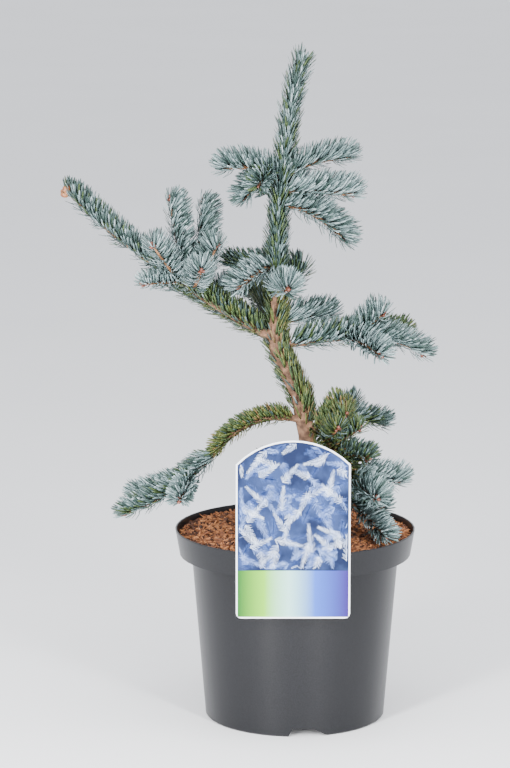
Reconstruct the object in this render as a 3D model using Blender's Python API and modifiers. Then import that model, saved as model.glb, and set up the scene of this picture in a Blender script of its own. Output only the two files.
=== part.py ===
"""A young noble fir in a black nursery pot, with the plastic label that hangs on the pot's rim.

The origin is the centre of the pot's flat underside, +Z is up and -Y is the side that
faces the viewer.  Every size is in millimetres times MM, so lengths come out in metres.
A limb's heading is the compass angle seen from above: 0 is +X, 90 is the back (+Y),
180 is -X and 270 is the front.  Its rise is the angle above level.
"""
import random
from collections import namedtuple
from math import ceil, cos, pi, radians, sin, sqrt

import bmesh
import bpy
import numpy as np
from mathutils import Matrix, Vector

MM = 0.001
GAP = 0.3 * MM

# Pot: a collar that flares to the rim over a tapering body
RIM_HEIGHT = 184.5 * MM
RIM_RADIUS = 115.8 * MM
COLLAR_HEIGHT = 24.5 * MM
COLLAR_FOOT_RADIUS = 111.5 * MM
BODY_TOP_RADIUS = 99.9 * MM
BASE_RADIUS = 86.8 * MM
BASE_CHAMFER = 1.5 * MM
WALL = 1.6 * MM
POT_STEPS = 48

# Drain channels: raised grooves under the pot that open as notches in its foot
CHANNELS = 3
FIRST_CHANNEL_HEADING = 278
CHANNEL_INNER_RADIUS = 30 * MM
CHANNEL_LENGTH = 75 * MM
CHANNEL_HEIGHT = 7.8 * MM
CHANNEL_FOOT_LEFT = -18.8 * MM
CHANNEL_FOOT_RIGHT = 18.8 * MM
CHANNEL_TOP_LEFT = -15.5 * MM
CHANNEL_TOP_RIGHT = 5.5 * MM

# Coir soil that fills the pot
SOIL_MIDDLE = 183 * MM
SOIL_EDGE = 177 * MM
SOIL_FLAT_RADIUS = 42 * MM

# Label: an arched plate with a hook over the rim
LABEL_CENTRE = -3.2 * MM
LABEL_WIDTH = 106.5 * MM
LABEL_FOOT = 124.3 * MM
LABEL_SHOULDER = 271.3 * MM
LABEL_CROWN = 294 * MM
LABEL_THICKNESS = 0.8 * MM
LABEL_CORNER = 5 * MM
HOOK_WIDTH = 30 * MM
HOOK_DEPTH = 6 * MM
HOOK_ROOT = 22 * MM

# Trunk and leader: distance to the right of the origin, height, radius
TRUNK = (
    (13, 183.3, 12.5), (13, 190, 10.4), (13, 202, 9.2), (13, 241, 8.5), (12, 271, 8.2),
    (7, 295, 7.8), (3, 315, 7.3), (-7, 335, 7.4), (-16, 356, 8.4), (-20, 373, 7.2),
    (-19.5, 390, 5.0), (-19, 407, 4.5), (-18, 443, 4.2), (-17, 472, 4.0), (-16, 503, 4.2),
    (-14, 520, 3.4), (-10, 546, 2.9), (-6, 583, 2.3), (-1, 612, 1.8), (5, 633, 1.3),
)

# Needles of the solids: larger than life, each stands for a small spray.  A shoot is a
# slim tube of rings; needles are drawn out of its rings in rows over its upper side.
COLUMNS = (-124, -76, -38, 0, 38, 76, 124)
ROWS = ((-38, 38), (-76, 0, 76), (-124, -38, 38))
RING_PITCH = 5.2 * MM
NEEDLE_LEAN = 38
TIP_LEAN = 60
SPACE_MARGIN = 2.2 * MM
STEM_RADIUS = 2.6 * MM
SHOOT_RADIUS = 2.2 * MM
TIP_RADIUS = 1.4 * MM
END_STUB = 1.5 * MM

# Sleeves of needles that sit on the trunk: name, foot and top height, needle length and
# the heading of the side that carries them (None is all round)
SLEEVES = (
    ("foliage_trunk", 304, 348, 13, 20),
    ("foliage_mid_leader", 450, 492, 16, None),
    ("foliage_leader", 530, 629, 18, None),
)
SLEEVE_WALL = 1.0 * MM
SLEEVE_LEAN = 44
BORE_PAST_TIP = 1
SLEEVE_COLUMNS = (0, 45, 90, 135, 180, 225, 270, 315)
SLEEVE_ROWS = ((0, 90, 180, 270), (45, 135, 225, 315), (0, 90, 180, 270))

# One shoot of a mass.  It leaves the mass's stem `along` millimetres from the trunk.
Shoot = namedtuple("Shoot", "along heading rise length bend needle facing", defaults=(0, 17, None))

# One limb with its mass: the bough is its first part, the mass's stem the rest
Mass = namedtuple("Mass", "name foot heading rise length bend bough needle shoots")

MASSES = (
    Mass("upper_left", 521, 195, 36, 48, -46, 0, 15, ()),
    Mass("upper_back_left", 515, 116, -10, 38, 0, 0, 15, ()),
    Mass("upper_right_high", 523, 12, 33, 62, -36, 0, 15, ()),
    Mass("upper_right_middle", 512, 352, 0, 60, -4, 0, 18, ()),
    Mass("upper_right_low", 499, 338, -3, 63, -45, 0, 16, ()),
    Mass("upper_back", 506, 62, 8, 41, -8, 0, 15, ()),
    Mass("mid_left_back", 436, 153, 5, 45, -8, 0, 15, ()),
    Mass("mid_left", 442, 213, -16, 43, -17, 0, 16, ()),
    Mass("mid_front", 421, 283, 0, 44, 8, 0, 18, ()),
    Mass("mid_right", 402, 43, 36, 41, 12, 0, 19, ()),
    Mass("mid_back", 436, 92, 12, 42, -8, 0, 15, ()),
    Mass("right", 363, 351, 7, 76, 3, 24, 20, (
        Shoot(66, 345, 36, 36, 6, 18),
        Shoot(60, 308, -4, 50, -18, 17),
        Shoot(68, 33, 4, 58, -12, 15),
        Shoot(76, 357, -5, 70, -26, 16),
    )),
    Mass("right_back", 385, 23, 4, 51, -3, 0, 20, ()),
    Mass("left", 370, 187, 26, 102, 13, 40, 20, (
        Shoot(102, 180, 30, 129, 18, 14),
        Shoot(99, 229, 40, 54, 10, 15),
        Shoot(98, 213, 0, 42, 4, 12),
        Shoot(92, 178, 76, 84, 8, 15, 0),
        Shoot(84, 70, 68, 76, 6, 15, 0),
        Shoot(82, 318, 55, 52, 8, 15),
        Shoot(84, 281, 28, 50, 4, 15),
        Shoot(94, 95, 24, 52, -6, 15),
    )),
    Mass("back_left", 367, 150, 20, 88, 4, 42, 17, (
        Shoot(88, 160, 20, 44, -4, 15),
        Shoot(76, 112, 14, 50, -8, 15),
        Shoot(64, 76, 26, 38, -6, 15),
    )),
    Mass("back", 376, 99, 14, 78, 0, 36, 17, (
        Shoot(78, 96, 8, 52, -10, 16),
        Shoot(66, 58, 10, 48, -8, 15),
        Shoot(70, 136, 12, 46, -8, 15),
    )),
    Mass("low_left", 289, 202, 20, 92, -72, 18, 11, (
        Shoot(92, 196, -46, 98, 30, 16),
        Shoot(130, 170, -22, 54, 6, 14),
        Shoot(126, 256, -22, 40, 0, 15),
    )),
    Mass("low_right", 289, 310, -14, 82, -44, 20, 15, (
        Shoot(28, 288, 26, 34, 8, 14),
        Shoot(36, 335, 30, 34, 8, 14),
        Shoot(46, 322, 2, 36, -6, 15),
        Shoot(82, 302, -4, 40, -8, 19),
        Shoot(72, 356, -8, 48, 4, 18),
    )),
    Mass("low_right_back", 281, 38, 6, 40, 0, 16, 14, (
        Shoot(34, 66, 14, 34, 6, 15),
        Shoot(40, 12, -8, 40, -6, 15),
    )),
    Mass("low_front", 243, 324, -26, 58, -6, 24, 14, (
        Shoot(58, 313, -28, 42, -6, 15),
        Shoot(48, 350, -8, 32, 0, 14),
    )),
    Mass("low_front_left", 250, 232, -10, 54, -16, 24, 15, (
        Shoot(54, 222, -14, 26, -4, 14),
        Shoot(46, 262, -10, 36, -4, 15),
    )),
    Mass("low_back", 236, 98, 4, 62, -14, 28, 15, (
        Shoot(62, 100, -8, 44, -8, 15),
        Shoot(54, 56, -4, 42, -8, 15),
        Shoot(56, 142, -4, 40, -8, 15),
    )),
)

BOUGH_RADIUS = {
    "left": 4.3 * MM, "right": 3.6 * MM, "low_left": 3.6 * MM, "low_right": 4.0 * MM,
    "back": 3.8 * MM, "back_left": 3.9 * MM, "low_right_back": 3.2 * MM,
    "low_front": 3.2 * MM, "low_front_left": 3.2 * MM, "low_back": 3.4 * MM,
}
GREEN_MASSES = ("low_right", "low_left")

# Resin bud cluster at the end of the long left shoot
BUD_RADIUS = 5.2 * MM
BUD_PLACES = ((-1.5, 0, 4.5), (-2.5, -1.5, -3.5), (-4.0, 1.5, 0.5))

POT_COLOUR = (0.045, 0.047, 0.055, 1)
SOIL_COLOUR = (0.20, 0.075, 0.028, 1)
LABEL_COLOUR = (0.30, 0.42, 0.72, 1)
BARK_COLOUR = (0.30, 0.17, 0.10, 1)
BLUE_COLOUR = (0.16, 0.27, 0.26, 1)
GREEN_COLOUR = (0.07, 0.12, 0.04, 1)

for old in list(bpy.data.objects):
    bpy.data.objects.remove(old, do_unlink=True)

PLANT = bpy.data.collections.new("potted_noble_fir")
bpy.context.scene.collection.children.link(PLANT)
CUTTERS = bpy.data.collections.new("cutters")
bpy.context.scene.collection.children.link(CUTTERS)


def material(name, colour, roughness):
    """A Principled material with one colour."""
    made = bpy.data.materials.new(name)
    made.use_nodes = True
    shader = made.node_tree.nodes["Principled BSDF"]
    shader.inputs["Base Color"].default_value = colour
    shader.inputs["Roughness"].default_value = roughness
    return made


def link(name, mesh, finish=None, home=PLANT):
    """An object of a mesh, in one of the collections; a cutter has no finish."""
    made = bpy.data.objects.new(name, mesh)
    home.objects.link(made)
    if finish is None:
        made.hide_render = True
        made.display_type = "WIRE"
    else:
        mesh.materials.clear()
        mesh.materials.append(finish)
    return made


def turned(name, profile, steps, finish=None, home=PLANT):
    """A closed solid turned from a profile that runs down its outer side from axis to axis."""
    mesh = bpy.data.meshes.new(name)
    points = [(radius, 0, height) for radius, height in profile]
    mesh.from_pydata(points, [(i, i + 1) for i in range(len(points) - 1)], [])
    made = link(name, mesh, finish, home)
    screw = made.modifiers.new("turn", "SCREW")
    screw.axis = "Z"
    screw.angle = 2 * pi
    screw.steps = steps
    screw.render_steps = steps
    screw.use_merge_vertices = True
    screw.merge_threshold = 0.00001
    screw.use_smooth_shade = False
    return made


def evaluated_mesh(source, name):
    """The mesh of an object with its modifiers applied and its doubles merged."""
    bpy.context.view_layer.update()
    evaluated = source.evaluated_get(bpy.context.evaluated_depsgraph_get())
    mesh = bpy.data.meshes.new_from_object(evaluated)
    mesh.name = name
    work = bmesh.new()
    work.from_mesh(mesh)
    bmesh.ops.remove_doubles(work, verts=work.verts, dist=0.000001)
    work.to_mesh(mesh)
    work.free()
    return mesh


def curve_mesh(name, curve, matrix=None):
    """A curve made a closed mesh at its place; the curve is removed."""
    holder = bpy.data.objects.new(name, curve)
    bpy.context.scene.collection.objects.link(holder)
    mesh = evaluated_mesh(holder, name)
    bpy.data.objects.remove(holder, do_unlink=True)
    if matrix is not None:
        mesh.transform(matrix)
    return mesh


def tube_mesh(name, points, radii, resolution):
    """A tapering tube with flat ends along a list of points."""
    curve = bpy.data.curves.new(name, "CURVE")
    curve.dimensions = "3D"
    curve.bevel_depth = 1.0
    curve.bevel_resolution = resolution
    curve.use_fill_caps = True
    spline = curve.splines.new("POLY")
    spline.points.add(len(points) - 1)
    for knot, point, radius in zip(spline.points, points, radii):
        knot.co = (*point, 1)
        knot.radius = radius
    return curve_mesh(name, curve)


def plate_mesh(name, outline, thickness, matrix=None):
    """A flat plate cut to an outline, centred on its own plane."""
    curve = bpy.data.curves.new(name, "CURVE")
    curve.dimensions = "2D"
    curve.fill_mode = "BOTH"
    curve.extrude = thickness / 2
    spline = curve.splines.new("POLY")
    spline.points.add(len(outline) - 1)
    for knot, point in zip(spline.points, outline):
        knot.co = (*point, 0, 1)
    spline.use_cyclic_u = True
    return curve_mesh(name, curve, matrix)


def arc_points(centre, radius, first, last, count):
    """Points on an arc between two angles in degrees."""
    angles = [radians(first + (last - first) * i / (count - 1)) for i in range(count)]
    return [(centre[0] + radius * cos(a), centre[1] + radius * sin(a)) for a in angles]


def boolean(target, operation, operand):
    """Join or cut a solid with every object of a collection."""
    step = target.modifiers.new(operation.lower(), "BOOLEAN")
    step.operation = operation
    step.operand_type = "COLLECTION"
    step.collection = operand
    step.solver = "EXACT"
    return step


def cutter_group(name):
    """A collection of its own for the pieces of one Boolean."""
    made = bpy.data.collections.new(name)
    CUTTERS.children.link(made)
    return made


def channel_cutters(name, spread):
    """The drain channels, grown by `spread` on the sides and the top."""
    group = cutter_group(name)
    foot = -5 * MM
    outline = (
        (CHANNEL_FOOT_LEFT - spread, foot), (CHANNEL_FOOT_RIGHT + spread, foot),
        (CHANNEL_FOOT_RIGHT + spread, 0), (CHANNEL_TOP_RIGHT + spread, CHANNEL_HEIGHT + spread),
        (CHANNEL_TOP_LEFT - spread, CHANNEL_HEIGHT + spread), (CHANNEL_FOOT_LEFT - spread, 0),
    )
    length = CHANNEL_LENGTH + spread
    middle = CHANNEL_INNER_RADIUS - spread + length / 2
    for number in range(CHANNELS):
        heading = FIRST_CHANNEL_HEADING + 360 / CHANNELS * number
        place = (Matrix.Rotation(radians(heading + 90), 4, "Z")
                 @ Matrix.Translation((0, -middle, 0)) @ Matrix.Rotation(pi / 2, 4, "X"))
        mesh = plate_mesh(f"{name}_{number}", outline, length, place)
        link(mesh.name, mesh, home=group)
    return group


def make_pot(finish):
    """The pot: a turned outside, less its inside and its drain channels."""
    collar_foot = RIM_HEIGHT - COLLAR_HEIGHT
    pot = turned("pot", (
        (0, RIM_HEIGHT), (RIM_RADIUS, RIM_HEIGHT), (COLLAR_FOOT_RADIUS, collar_foot),
        (BODY_TOP_RADIUS, collar_foot), (BASE_RADIUS, BASE_CHAMFER),
        (BASE_RADIUS - BASE_CHAMFER, 0), (0, 0),
    ), POT_STEPS, finish)
    inside = turned("pot_inside", inside_profile(0, RIM_HEIGHT + 2 * MM), POT_STEPS, home=CUTTERS)
    boolean(inside, "DIFFERENCE", channel_cutters("channel_roof", WALL))
    cuts = cutter_group("pot_cuts")
    CUTTERS.objects.unlink(inside)
    cuts.objects.link(inside)
    boolean(pot, "DIFFERENCE", cuts)
    boolean(pot, "DIFFERENCE", channel_cutters("channel", 0))


def inside_profile(inset, top):
    """The profile of the pot's inside, drawn in by `inset`, up to a height."""
    collar_foot = RIM_HEIGHT - COLLAR_HEIGHT + WALL + inset
    slope = (RIM_RADIUS - COLLAR_FOOT_RADIUS) / COLLAR_HEIGHT
    mouth = RIM_RADIUS - WALL - inset + slope * (top - RIM_HEIGHT)
    return (
        (0, top), (mouth, top), (COLLAR_FOOT_RADIUS - WALL - inset, collar_foot),
        (BODY_TOP_RADIUS - WALL - inset, collar_foot),
        (BASE_RADIUS - WALL - inset, WALL + inset), (0, WALL + inset),
    )


def make_soil(finish):
    """The soil: the pot's inside, 0.3 mm clear of it, with a gentle mound on top."""
    profile = list(inside_profile(GAP, SOIL_EDGE))
    profile[0:1] = [(0, SOIL_MIDDLE), (SOIL_FLAT_RADIUS, SOIL_MIDDLE)]
    soil = turned("soil", profile, POT_STEPS, finish)
    boolean(soil, "DIFFERENCE", channel_cutters("channel_under_soil", WALL + GAP))


def make_label(finish):
    """The label's plate in front of the rim, with a hook that drops inside the wall."""
    half = LABEL_WIDTH / 2
    arch = LABEL_CROWN - LABEL_SHOULDER
    arch_radius = (half * half + arch * arch) / (2 * arch)
    arch_angle = np.degrees(np.arcsin(half / arch_radius))
    side = half - LABEL_CORNER
    low = LABEL_FOOT + LABEL_CORNER
    outline = arc_points((-side, low), LABEL_CORNER, 180, 270, 4)
    outline += arc_points((side, low), LABEL_CORNER, 270, 360, 4)
    outline += arc_points((0, LABEL_CROWN - arch_radius), arch_radius,
                          90 - arch_angle, 90 + arch_angle, 13)
    front = -RIM_RADIUS - GAP - LABEL_THICKNESS
    upright = Matrix.Rotation(pi / 2, 4, "X")
    place = Matrix.Translation((LABEL_CENTRE, front + LABEL_THICKNESS / 2, 0)) @ upright
    label = link("label", plate_mesh("label", outline, LABEL_THICKNESS, place), finish)

    reach = HOOK_WIDTH / 2 - LABEL_CENTRE
    mouth = inside_profile(GAP, RIM_HEIGHT - HOOK_DEPTH)[1][0] * cos(pi / POT_STEPS)
    inner = -sqrt(mouth ** 2 - reach ** 2)
    top = RIM_HEIGHT + GAP + LABEL_THICKNESS
    foot = RIM_HEIGHT - HOOK_DEPTH
    plate_back = front + LABEL_THICKNESS * 0.9
    plate_front = front + LABEL_THICKNESS * 0.3
    section = (
        (plate_front, foot - HOOK_ROOT), (plate_back, foot - HOOK_ROOT),
        (plate_back, top - LABEL_THICKNESS), (inner, top - LABEL_THICKNESS),
        (inner, foot), (inner + LABEL_THICKNESS, foot),
        (inner + LABEL_THICKNESS, top), (plate_front, top),
    )
    turn = Matrix(((0, 0, 1, 0), (1, 0, 0, 0), (0, 1, 0, 0), (0, 0, 0, 1)))
    hook = plate_mesh("label_hook", section, HOOK_WIDTH,
                      Matrix.Translation((LABEL_CENTRE, 0, 0)) @ turn)
    group = cutter_group("label_parts")
    link("label_hook", hook, home=group)
    boolean(label, "UNION", group)


def trunk_at(height):
    """The trunk's centre and radius at a height in millimetres."""
    heights = [point[1] for point in TRUNK]
    across = np.interp(height, heights, [point[0] for point in TRUNK])
    radius = np.interp(height, heights, [point[2] for point in TRUNK])
    return Vector((across, 0, height)) * MM, float(radius) * MM


class Line:
    """The centre line of a limb, with its radius at each point."""

    def __init__(self, points, radii):
        self.points = points
        self.radii = radii
        steps = [(b - a).length for a, b in zip(points, points[1:])]
        self.marks = [0, *np.cumsum(steps)]
        self.length = self.marks[-1]

    def at(self, along):
        """The point at a distance from the foot."""
        return Vector([np.interp(along, self.marks, axis) for axis in zip(*self.points)])

    def ahead(self, along):
        """The direction at a distance from the foot."""
        step = 1.5 * MM
        first = max(0, min(along + step, self.length) - 2 * step)
        return (self.at(first + 2 * step) - self.at(first)).normalized()

    def radius(self, along):
        """The radius at a distance from the foot."""
        return float(np.interp(along, self.marks, self.radii))

    def bough_mesh(self, name, last):
        """The bare tube from the foot to a distance; short stubs square its ends."""
        count = max(2, round(last / (12 * MM)) + 1)
        stops = [0, END_STUB, *np.linspace(0, last, count)[1:-1], last - END_STUB, last]
        return tube_mesh(name, [self.at(s) for s in stops], [self.radius(s) for s in stops], 2)


def arc_line(start, heading, rise, length, bend, foot_radius, tip_radius):
    """A limb that leaves a point at a heading and rise, and bends evenly along its length."""
    steps = max(4, ceil(length / (4 * MM)))
    level = radians(heading)
    points = [Vector(start)]
    for number in range(steps):
        tilt = radians(rise + bend * (number + 0.5) / steps)
        ahead = Vector((cos(level) * cos(tilt), sin(level) * cos(tilt), sin(tilt)))
        points.append(points[-1] + ahead * length / steps)
    return Line(points, list(np.linspace(foot_radius, tip_radius, steps + 1)))


def trunk_line(foot, top, thicker):
    """The trunk's own centre line between two heights, with a thicker radius."""
    heights = [foot] + [height for across, height, radius in TRUNK if foot < height < top] + [top]
    points = [trunk_at(height)[0] for height in heights]
    points[-1].z = top * MM
    return Line(points, [trunk_at(height)[1] + thicker for height in heights])


def limb_from_trunk(mass):
    """The limb of a mass, its flat foot 0.3 mm clear of the leaning trunk."""
    centre, trunk_radius = trunk_at(mass.foot)
    foot_radius = BOUGH_RADIUS.get(mass.name, STEM_RADIUS)
    level = radians(mass.heading)
    tilt = radians(mass.rise)
    way = Vector((cos(level) * cos(tilt), sin(level) * cos(tilt), sin(tilt)))
    side = way.orthogonal().normalized()
    off = trunk_radius
    while min(trunk_gap(centre + way * off + Matrix.Rotation(turn, 3, way) @ side * foot_radius)
              for turn in np.linspace(0, 2 * pi, 17)) < GAP:
        off += 0.1 * MM
    return arc_line(centre + way * off, mass.heading, mass.rise, mass.length * MM, mass.bend,
                    foot_radius, STEM_RADIUS)


def trunk_gap(spot):
    """How far a point lies outside the trunk's surface."""
    gaps = []
    for height in np.arange(-16, 17, 1) + spot.z / MM:
        centre, radius = trunk_at(height)
        gaps.append((spot - centre).length - radius)
    return min(gaps)


def shoot_line(stem, children, shoot):
    """A side shoot; past the stem's end it starts on the shoot that carries the stem on."""
    carrier, along = stem, shoot.along * MM
    if along > stem.length + MM:
        carrier, along = children[0], along - stem.length
    return arc_line(carrier.at(along), shoot.heading, shoot.rise, shoot.length * MM, shoot.bend,
                    SHOOT_RADIUS, TIP_RADIUS)


def next_ring(work, ring):
    """Extrude a ring of vertices by its edges; the new ring keeps the old one's order."""
    known = set(work.verts)
    edges = [work.edges.get((ring[i - 1], ring[i])) for i in range(len(ring))]
    bmesh.ops.extrude_edge_only(work, edges=edges)
    return [next(edge.other_vert(vert) for edge in vert.link_edges
                 if edge.other_vert(vert) not in known) for vert in ring]


def needled_tube(name, line, first, columns, rows, upper, needle, lean, allowed, dice):
    """A tube of rings whose columns are drawn out into needles where there is room.

    The rows are the columns that carry needles on even and odd rings, then on the last.
    """
    count = max(3, round((line.length - first - END_STUB) / RING_PITCH))
    stops = [first, *np.linspace(first + END_STUB, line.length, count)]
    work = bmesh.new()
    ring = bmesh.ops.create_circle(work, cap_ends=True, segments=len(columns), radius=1)["verts"]
    for number, along in enumerate(stops):
        if number:
            ring = next_ring(work, ring)
        left = len(stops) - 1 - number
        carrying = rows[2] if left == 0 else rows[left % 2]
        ahead = line.ahead(along)
        up = (upper - ahead * upper.dot(ahead)).normalized()
        side = ahead.cross(up)
        for vert, angle in zip(ring, columns):
            out = up * cos(radians(angle)) + side * sin(radians(angle))
            root = line.at(along) + out * line.radius(along)
            vert.co = root
            if number < 2 or angle not in carrying:
                continue
            tilt = radians((TIP_LEAN if left == 0 else lean) + dice.uniform(-6, 6))
            way = out * cos(tilt) + ahead * sin(tilt)
            size = needle * MM * dice.uniform(0.92, 1.08)
            for length in (size, 0.8 * size, 0.6 * size):
                if allowed(root, way, length):
                    vert.co = root + way * length
                    break
    rim = [work.edges.get((ring[i - 1], ring[i])) for i in range(len(ring))]
    cap = bmesh.ops.edgeloop_fill(work, edges=rim)["faces"]
    point = bmesh.ops.poke(work, faces=cap)["verts"][0]
    reach = needle * MM * 0.5
    if allowed(line.at(line.length), ahead, reach):
        point.co = line.at(line.length) + ahead * reach
    bmesh.ops.recalc_face_normals(work, faces=work.faces)
    bmesh.ops.triangulate(work, faces=work.faces, quad_method="SHORT_EDGE")
    mesh = bpy.data.meshes.new(name)
    work.to_mesh(mesh)
    work.free()
    return mesh


def fuse(name, core, group, finish):
    """One Boolean union of a core and its collection, applied as the node's one body."""
    body = link(name, core, finish)
    boolean(body, "UNION", group)
    mesh = evaluated_mesh(body, name)
    bpy.data.objects.remove(body, do_unlink=True)
    for piece in list(group.objects):
        bpy.data.objects.remove(piece, do_unlink=True)
    bpy.data.collections.remove(group)
    return link(name, one_body(mesh), finish)


def one_body(mesh):
    """Keep the largest closed body: loose scraps are dropped and sealed hollows filled."""
    work = bmesh.new()
    work.from_mesh(mesh)
    left = set(work.faces)
    bodies = []
    while left:
        body = [left.pop()]
        for face in body:
            for edge in face.edges:
                fresh = [other for other in edge.link_faces if other in left]
                left.difference_update(fresh)
                body.extend(fresh)
        bodies.append(body)
    bodies.sort(key=len)
    scraps = [face for body in bodies[:-1] for face in body]
    bmesh.ops.delete(work, geom=scraps, context="FACES")
    bmesh.ops.triangulate(work, faces=work.faces)
    work.to_mesh(mesh)
    work.free()
    return mesh


def stops_along(limb):
    """Points every 4 mm along a limb, as rows of numbers."""
    count = max(2, ceil(limb.length / (4 * MM)) + 1)
    return np.array([limb.at(s) for s in np.linspace(0, limb.length, count)])


def nearest(points, rows):
    """For each point, the distance to the nearest of the rows."""
    return np.sqrt(((points[:, None, :] - rows[None, :, :]) ** 2).sum(axis=2)).min(axis=1)


class Space:
    """Who holds which room: masses by their shoots' lines, limbs, pot and label by their size."""

    def __init__(self):
        self.masses = {}
        self.limbs = []

    def allows(self, name, root, way, length, beside_trunk=False):
        """Whether a needle keeps to its mass's own room and clear of every limb."""
        spots = np.array([root + way * length * share for share in (0.3, 0.5, 0.7, 0.85, 1.0)])
        own = nearest(spots, self.masses[name])
        for other, rows in self.masses.items():
            if other != name and (nearest(spots, rows) < own + SPACE_MARGIN).any():
                return False
        for rows, radii in self.limbs[1 if beside_trunk else 0:]:
            gaps = np.sqrt(((spots[:, None, :] - rows[None, :, :]) ** 2).sum(axis=2)) - radii
            if gaps.min() < SPACE_MARGIN:
                return False
        return not any(self.touches_pot(spot) for spot in spots)

    def touches_pot(self, spot):
        """Whether a point lies in the pot, its soil or its label, or too close to them."""
        across, deep, height = spot
        out = sqrt(across * across + deep * deep)
        if out < RIM_RADIUS + SPACE_MARGIN:
            if height < SOIL_MIDDLE + SPACE_MARGIN:
                return True
            if out > RIM_RADIUS - WALL - SPACE_MARGIN and height < RIM_HEIGHT + SPACE_MARGIN:
                return True
        inside_label = (abs(across - LABEL_CENTRE) < LABEL_WIDTH / 2 + SPACE_MARGIN
                        and height < LABEL_CROWN + SPACE_MARGIN)
        return inside_label and deep < -RIM_RADIUS + SPACE_MARGIN


def make_trunk(finish, space):
    """The trunk and leader, one tapering solid from its flat cut to its tip."""
    points = [Vector((across, 0, height)) * MM for across, height, radius in TRUNK]
    radii = [radius * MM for across, height, radius in TRUNK]
    link("trunk", tube_mesh("trunk", points, radii, 4), finish)
    heights = np.arange(TRUNK[0][1], TRUNK[-1][1] + 3, 3)
    rows = np.array([trunk_at(height)[0] for height in heights])
    space.limbs.append((rows, np.array([trunk_at(height)[1] for height in heights])))


def plan_masses(space):
    """The lines of every mass, known before any needle is placed."""
    plans = []
    for mass in MASSES:
        stem = limb_from_trunk(mass)
        children = []
        for shoot in mass.shoots:
            children.append(shoot_line(stem, children, shoot))
        bough = mass.bough * MM
        rows = [stops_along(line) for line in [stem] + children]
        rows[0] = rows[0][int(bough / (4 * MM)):]
        space.masses["foliage_" + mass.name] = np.vstack(rows)
        if bough:
            stops = np.linspace(0, bough, 10)
            thick = np.array([stem.radius(s) for s in stops])
            space.limbs.append((np.array([stem.at(s) for s in stops]), thick))
        plans.append((mass, stem, children))
    for name, foot, top, needle, facing in SLEEVES:
        space.masses[name] = np.array([trunk_at(height)[0] for height in np.arange(foot, top, 3)])
    return plans


def make_mass(mass, stem, children, finishes, space, dice):
    """The bough, and the mass that carries it on: stem, side shoots and needles in one body."""
    name = "foliage_" + mass.name
    first = 0
    if mass.bough:
        bough = "bough_" + mass.name
        link(bough, stem.bough_mesh(bough, mass.bough * MM), finishes["bark"])
        first = mass.bough * MM + GAP

    def allowed(root, way, length):
        return space.allows(name, root, way, length)

    def tube(piece, line, start, needle, facing):
        upper = Vector((0, 0, 1))
        if facing is not None:
            upper = Vector((cos(radians(facing)), sin(radians(facing)), 0.25))
        return needled_tube(piece, line, start, COLUMNS, ROWS, upper, needle, NEEDLE_LEAN,
                            allowed, dice)

    core = tube(name, stem, first, mass.needle, None)
    group = cutter_group(name + "_parts")
    for number, (line, shoot) in enumerate(zip(children, mass.shoots)):
        piece = f"{name}_{number}"
        link(piece, tube(piece, line, 0, shoot.needle, shoot.facing), home=group)
    if mass.name == "left":
        add_buds(group, children[0])
    fuse(name, core, group, finishes["green" if mass.name in GREEN_MASSES else "blue"])


def add_buds(group, line):
    """The cluster of round resin buds at a shoot's end."""
    tip = line.at(line.length)
    for number, place in enumerate(BUD_PLACES):
        work = bmesh.new()
        bmesh.ops.create_icosphere(work, subdivisions=1, radius=BUD_RADIUS)
        bmesh.ops.translate(work, vec=tip + Vector(place) * MM, verts=work.verts)
        mesh = bpy.data.meshes.new(f"bud_{number}")
        work.to_mesh(mesh)
        work.free()
        link(mesh.name, mesh, home=group)


def make_sleeve(sleeve, finish, space, dice):
    """A thin sleeve round the trunk, 0.3 mm clear of it, with the needles that it carries."""
    name, foot, top, needle, facing = sleeve

    def allowed(root, way, length):
        if facing is not None:
            towards = Vector((cos(radians(facing)), sin(radians(facing)), 0))
            if way.dot(towards) < 0.1:
                return False
        return space.allows(name, root, way, length, beside_trunk=True)

    line = trunk_line(foot, top, GAP + SLEEVE_WALL)
    mesh = needled_tube(name, line, 0, SLEEVE_COLUMNS, SLEEVE_ROWS, Vector((1, 0, 0)), needle,
                        SLEEVE_LEAN, allowed, dice)
    body = link(name, mesh, finish)
    drill = cutter_group(name + "_drill")
    bore = trunk_line(TRUNK[0][1], TRUNK[-1][1] + BORE_PAST_TIP, GAP)
    link(name + "_bore", tube_mesh(name + "_bore", bore.points, bore.radii, 4), home=drill)
    boolean(body, "DIFFERENCE", drill)


def main():
    """Build every piece of the potted plant."""
    dice = random.Random(11)
    make_pot(material("pot_plastic", POT_COLOUR, 0.42))
    make_soil(material("coir", SOIL_COLOUR, 0.95))
    make_label(material("label_print", LABEL_COLOUR, 0.35))
    finishes = {
        "bark": material("bark", BARK_COLOUR, 0.85),
        "blue": material("blue_needles", BLUE_COLOUR, 0.6),
        "green": material("green_needles", GREEN_COLOUR, 0.6),
    }
    space = Space()
    make_trunk(finishes["bark"], space)
    plans = plan_masses(space)
    for mass, stem, children in plans:
        make_mass(mass, stem, children, finishes, space, dice)
    for sleeve in SLEEVES:
        make_sleeve(sleeve, finishes["blue"], space, dice)


main()
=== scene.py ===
"""The looks of the potted noble fir: real needles, twigs, buds, bark, coir and a printed label.

Headings are seen from above: 0 is +X, 90 is the back, 270 the front.  Limbs follow the rule
of the solids with nearly the same numbers and a few shoots more, and their needles are about
real size.
"""
import random
from collections import namedtuple
from math import ceil, cos, pi, radians, sin, sqrt

import bmesh
import bpy
import numpy as np
from mathutils import Matrix, Vector, noise


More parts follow.
